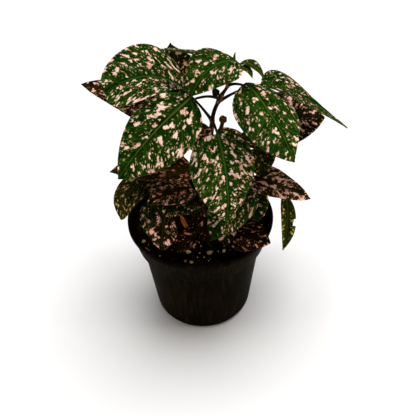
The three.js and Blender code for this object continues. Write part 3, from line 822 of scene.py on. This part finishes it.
def scatter(count, seed, clearance):
    """Seeded places on the soil inside the pot, each clear of the perlite grains."""
    dice = random.Random(seed)
    for _ in range(count):
        reach = math.sqrt(dice.random()) * (SOIL_EDGE_RADIUS - 2)
        turn = dice.uniform(0, 2 * math.pi)
        x, y = reach * math.cos(turn), reach * math.sin(turn)
        if all(math.hypot(x - gx, y - gy) > size + clearance for gx, gy, size in GRAINS):
            yield x, y, dice


def make_crumbs(crumb):
    """Loose crumbs, chips of bark and bits of fibre lying on the soil."""
    bm = bmesh.new()
    for i, (x, y, dice) in enumerate(scatter(CRUMB_COUNT, CRUMB_SEED, 1.0)):
        size = 0.35 + 0.9 * dice.random() ** 2.5
        squash = (dice.uniform(0.8, 2.2), dice.uniform(0.6, 1.1), dice.uniform(0.4, 0.9))
        add_lump(bm, Vector((x, y, soil_height(x, y) + 0.25 * size)), size, 0.7, i * 0.37, squash, detail=1)
    finished("soil_crumbs", bm, [crumb], "soil")


def make_perlite(perlite):
    """Each grain stands for its own node; the small bits between them are one more piece."""
    for i, (x, y, radius) in enumerate(GRAINS):
        bm = bmesh.new()
        centre = Vector((x, y, soil_height(x, y) + GRAIN_LIFT))
        add_lump(bm, centre, GRAIN_BODY * radius, 0.55, i + 1.7, (1.12, 0.92, 0.85), detail=4)
        node = f"perlite_grain_{i + 1}"
        finished("fine_" + node, bm, [perlite], "perlite", node)
    bm = bmesh.new()
    for i, (x, y, size) in enumerate(FRONT_BITS):
        add_lump(bm, Vector((x, y, soil_height(x, y) + 0.4 * size)), size, 0.6, i + 0.4, (1.2, 0.9, 0.8), detail=3)
    for i, (x, y, dice) in enumerate(scatter(BIT_COUNT, BIT_SEED, 1.5)):
        size = 0.2 + 0.35 * dice.random() ** 2
        add_lump(bm, Vector((x, y, soil_height(x, y) + 0.5)), size, 0.6, i + 20.4, (1.1, 0.9, 0.8), detail=2)
    finished("perlite_bits", bm, [perlite], "perlite")


def make_dry_scraps():
    """A withered, curled scrap of leaf among the stems, and a dry bud scale on the upper left leaf's stalk."""
    bm = bmesh.new()
    bm.loops.layers.uv.new("edge")
    steps = 24
    curve = spline([Vector(point) for point in DRY_SCRAP], steps)
    radii = [0.5 + 0.9 * math.sin(math.pi * min(0.1 + i / (steps + 2), 1)) for i in range(steps + 1)]
    add_tube(bm, curve, radii, 12)
    finished("dry_leaf_scrap", bm, [dry_finish("dry leaf scrap", "6a3210", "c8702a")], "ageing_leaf")
    bm = bmesh.new()
    add_lump(bm, Vector(DRY_BUD_SCALE), 1.2, 0.4, 0.8, (1, 0.8, 1.7), detail=3)
    finished("dry_bud_scale", bm, [dry_finish("dry bud scale", "8a6a4c", "dcc0a0")], "stem")


# ---- floor, light and camera ------------------------------------------------------------
CAMERA_TARGET = Vector((5.7, 0, 92.3))
CAMERA_DISTANCE = 420
CAMERA_ELEVATION = 41.6
CAMERA_ROLL = -1.76
CAMERA_LENS = 50.7
LIGHT_FROM = (0.13, 0.15, 1)
LIGHT_STRENGTH = 3.7
LIGHT_SPREAD = 50
WORLD_STRENGTH = 0.03
FLOOR_SIZE = 12  # metres from its middle to its edge
FLOOR_SHADE = 0.835

# Lamps: name, place, target, size, power and colour, in metres and watts.
LAMPS = (
    ("side card", (-0.8, -0.1, 0.055), (0, 0, 0.055), 0.09, 4.0, (1.0, 0.8, 0.6)),
    ("side card", (0.8, -0.1, 0.055), (0, 0, 0.055), 0.09, 4.0, (1.0, 0.8, 0.6)),
    ("front fill", (0, -1.15, 0.85), (0, 0, 0.1), 0.7, 3.2, (1, 1, 1)),
)


def make_floor():
    bm = bmesh.new()
    bmesh.ops.create_grid(bm, x_segments=1, y_segments=1, size=FLOOR_SIZE)
    mesh = bpy.data.meshes.new("floor")
    bm.to_mesh(mesh)
    bm.free()
    mesh.materials.append(floor_finish())
    floor = bpy.data.objects.new("floor", mesh)
    bpy.context.scene.collection.objects.link(floor)


def add_lamp(name, place, target, size, power, colour):
    lamp = bpy.data.lights.new(name, "AREA")
    lamp.shape = "DISK"
    lamp.size, lamp.energy, lamp.color = size, power, colour
    stand = bpy.data.objects.new(name, lamp)
    stand.location = place
    stand.rotation_euler = (Vector(target) - Vector(place)).to_track_quat("-Z", "Y").to_euler()
    bpy.context.scene.collection.objects.link(stand)


def make_light():
    """One broad even light from above, a fill from the front and warm cards low beside the pot."""
    sky = bpy.data.lights.new("overhead light", "SUN")
    sky.energy = LIGHT_STRENGTH
    sky.angle = math.radians(LIGHT_SPREAD)
    holder = bpy.data.objects.new("overhead light", sky)
    holder.rotation_euler = Vector(LIGHT_FROM).to_track_quat("Z", "Y").to_euler()
    bpy.context.scene.collection.objects.link(holder)
    for lamp in LAMPS:
        add_lamp(*lamp)
    world = bpy.data.worlds.new("studio")
    world.use_nodes = True
    world.node_tree.nodes["Background"].inputs["Color"].default_value = (1, 1, 1, 1)
    world.node_tree.nodes["Background"].inputs["Strength"].default_value = WORLD_STRENGTH
    bpy.context.scene.world = world
    bpy.context.scene.view_settings.view_transform = "Standard"


def make_camera():
    tilt = math.radians(CAMERA_ELEVATION)
    back = Vector((0, -math.cos(tilt), math.sin(tilt)))
    level, upright = Vector((1, 0, 0)), back.cross(Vector((1, 0, 0)))
    roll = math.radians(CAMERA_ROLL)
    right = level * math.cos(roll) + upright * math.sin(roll)
    up = upright * math.cos(roll) - level * math.sin(roll)
    lens = bpy.data.cameras.new("camera")
    lens.lens = CAMERA_LENS
    camera = bpy.data.objects.new("camera", lens)
    place = (CAMERA_TARGET + back * CAMERA_DISTANCE) * MM
    camera.matrix_world = Matrix.Translation(place) @ Matrix((right, up, back)).transposed().to_4x4()
    bpy.context.scene.collection.objects.link(camera)
    bpy.context.scene.camera = camera


# ---- the whole --------------------------------------------------------------------------
make_camera()
make_floor()
make_light()
leaf_materials = {
    look: [blade_finish(look, False), blade_finish(look, True), stalk_finish(look)] for look in LOOKS
}
for number, name in enumerate(LEAVES):
    make_leaf(name, number, leaf_materials)
bark = bark_finish()
for name in STEMS:
    make_stem(name, bark)
make_tip_bud(leaf_materials)
make_rolled_leaf(dry_finish("rolled leaf skin", "100a03", "4c3418"))
make_pot(pot_finish())
make_soil(soil_finish())
make_crumbs(crumb_finish())
make_perlite(perlite_finish())
make_dry_scraps()
